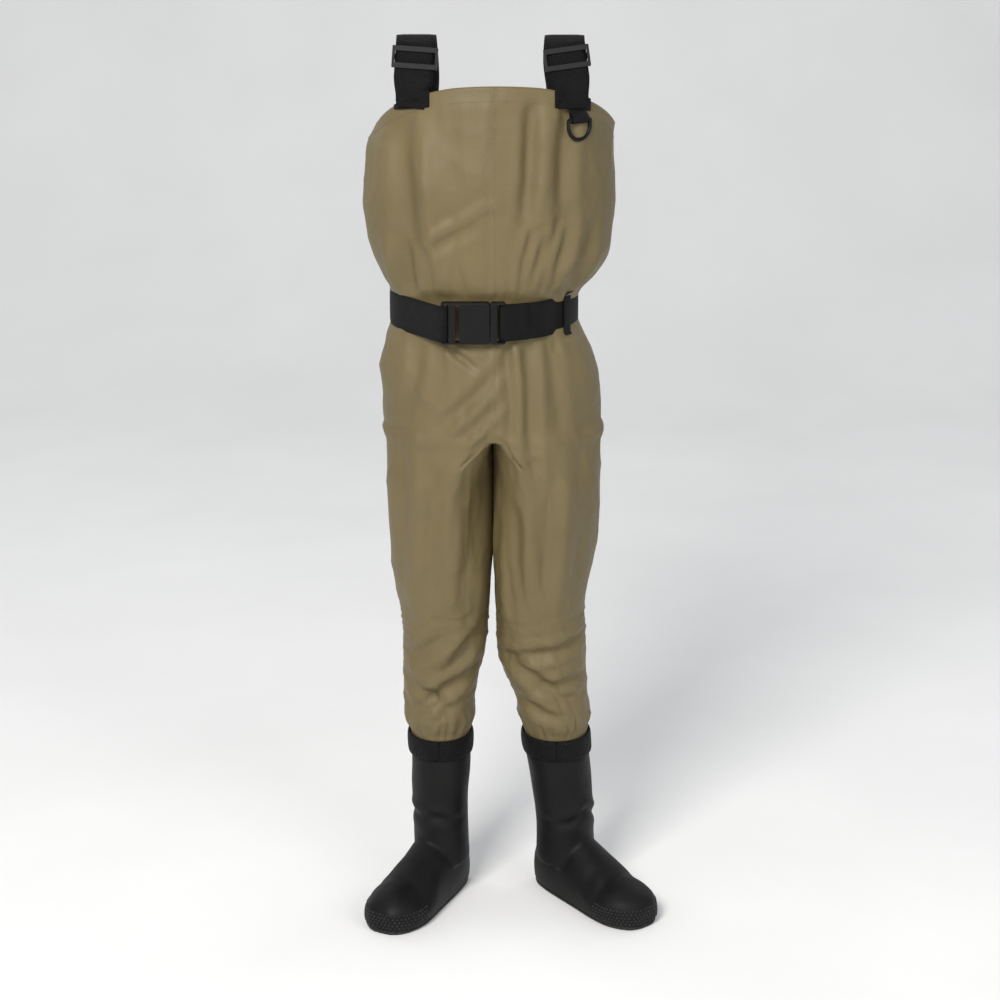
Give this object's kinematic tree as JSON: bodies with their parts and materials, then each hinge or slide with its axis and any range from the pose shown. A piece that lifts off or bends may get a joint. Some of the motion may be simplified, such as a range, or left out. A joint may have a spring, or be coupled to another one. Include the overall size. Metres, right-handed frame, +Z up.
{
  "type": "chest waders",
  "caption": "Child-size chest waders: khaki bib and legs, neoprene booties, elastic shoulder straps and a waist belt with a side-release buckle.",
  "frame": {"origin": "on the ground below the middle of the whole object's box, waders standing on their soles", "axes": "+Z up, the front of the bib faces -Y, the wearer's left is +X"},
  "size_m": [0.326, 0.2102, 0.976],
  "materials": {
    "khaki_cloth": "coated plain-weave cloth, low sheen",
    "seam_tape": "heat-bonded waterproof tape",
    "webbing": "woven polypropylene webbing",
    "strap_elastic": "ribbed woven elastic",
    "buckle_plastic": "moulded acetal, fine satin",
    "neoprene": "smooth-skin neoprene",
    "cuff_knit": "stretch knit over neoprene",
    "sole_rubber": "pebbled grip rubber"
  },
  "bodies": {
    "root": {"front_panel_left": "khaki_cloth", "front_panel_right": "khaki_cloth", "back_panel_left": "khaki_cloth", "back_panel_right": "khaki_cloth", "inner_leg_left": "khaki_cloth", "inner_leg_right": "khaki_cloth", "hem_facing": "khaki_cloth", "seam_tape_front": "seam_tape", "seam_tape_back": "seam_tape", "seam_tape_side_left": "seam_tape", "seam_tape_side_right": "seam_tape", "seam_tape_outseam_left": "seam_tape", "seam_tape_outseam_right": "seam_tape", "seam_tape_inseam_left": "seam_tape", "seam_tape_inseam_right": "seam_tape", "belt_webbing": "webbing", "belt_loop_left": "webbing", "belt_loop_right": "webbing", "belt_loop_back": "webbing", "strap_tab_left": "webbing", "strap_tab_right": "webbing", "back_tab_left": "webbing", "back_tab_right": "webbing", "d_ring_loop": "webbing", "back_elastic": "strap_elastic", "buckle_socket": "buckle_plastic", "bootie_left": "neoprene", "bootie_right": "neoprene", "ankle_cuff_left": "cuff_knit", "ankle_cuff_right": "cuff_knit", "bootie_sole_left": "sole_rubber", "bootie_sole_right": "sole_rubber"},
    "belt_plug": {"buckle_plug": "buckle_plastic", "belt_end_loop": "webbing"},
    "upper_prong": {"prong_upper": "buckle_plastic"},
    "lower_prong": {"prong_lower": "buckle_plastic"},
    "ring": {"d_ring": "buckle_plastic"},
    "strap_left": {"shoulder_strap_left": "strap_elastic"},
    "strap_right": {"shoulder_strap_right": "strap_elastic"},
    "adjuster_left": {"strap_adjuster_left": "buckle_plastic"},
    "adjuster_right": {"strap_adjuster_right": "buckle_plastic"}
  },
  "joints": [
    {"name": "buckle_release", "type": "slide", "parent": "root", "child": "belt_plug", "axis": [1, 0, 0], "range_m": [0, 0.03], "deforming": ["prong_upper", "prong_lower"]},
    {"name": "prong_squeeze_upper", "type": "hinge", "parent": "belt_plug", "child": "upper_prong", "pos_m": [-0.02274, -0.09165, 0.695], "axis": [0, -1, 0], "range_deg": [0, 10]},
    {"name": "prong_squeeze_lower", "type": "hinge", "parent": "belt_plug", "child": "lower_prong", "pos_m": [-0.02274, -0.09165, 0.677], "axis": [0, -1, 0], "range_deg": [-10, 0]},
    {"name": "ring_swing", "type": "hinge", "parent": "root", "child": "ring", "pos_m": [0.0678, -0.07527, 0.892], "axis": [-0.7956, -0.6058, 0], "range_deg": [0, 130]},
    {"name": "strap_swing_left", "type": "hinge", "parent": "root", "child": "strap_left", "pos_m": [0.05956, -0.07515, 0.921], "axis": [-0.1109, 0.9458, -0.3051], "range_deg": [-4, 30]},
    {"name": "strap_swing_right", "type": "hinge", "parent": "root", "child": "strap_right", "pos_m": [-0.10044, -0.07515, 0.921], "axis": [-0.1109, -0.9458, 0.3051], "range_deg": [-4, 30]},
    {"name": "adjuster_slide_left", "type": "slide", "parent": "strap_left", "child": "adjuster_left", "axis": [-0.1378, 0.172, 0.9754], "range_m": [-0.011, 0.002]},
    {"name": "adjuster_slide_right", "type": "slide", "parent": "strap_right", "child": "adjuster_right", "axis": [0.0696, 0.1732, 0.9824], "range_m": [-0.011, 0.002]}
  ],
  "couplings": [
    {"joint": "prong_squeeze_lower", "follows": "prong_squeeze_upper", "ratio": -1}
  ]
}
